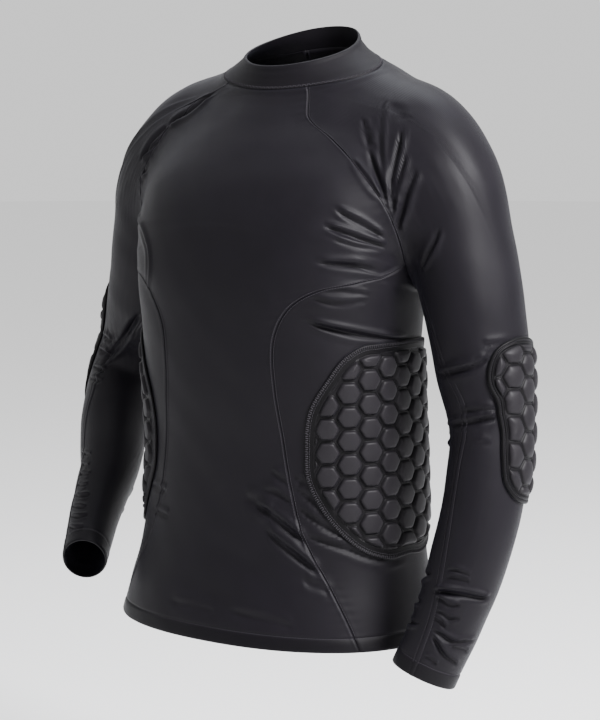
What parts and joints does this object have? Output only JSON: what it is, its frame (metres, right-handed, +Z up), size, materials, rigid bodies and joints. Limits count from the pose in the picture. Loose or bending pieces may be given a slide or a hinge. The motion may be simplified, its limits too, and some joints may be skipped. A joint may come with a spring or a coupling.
{
  "type": "padded compression shirt",
  "caption": "Long-sleeved raglan compression shirt, worn and hollow, with hexagonal foam pads over the ribs and elbows and a short stand-up collar.",
  "frame": {"origin": "middle of the neck at the height of the shoulders' top, where the wearer holds the shirt up", "axes": "+X towards the wearer's left, -Y towards the front, +Z up"},
  "size_m": [0.6868, 0.2878, 0.6837],
  "materials": {
    "cloth": "satin stretch knit",
    "side_cloth": "satin stretch knit",
    "collar_cloth": "satin stretch knit, doubled",
    "foam": "matt laminated foam"
  },
  "bodies": {
    "root": {"front": "cloth", "back": "cloth", "side_left": "side_cloth", "side_right": "side_cloth", "sleeve_left": "cloth", "sleeve_right": "cloth", "collar": "collar_cloth", "rib_pad_left": "foam", "rib_pad_right": "foam", "elbow_pad_left": "foam", "elbow_pad_right": "foam"}
  },
  "joints": []
}
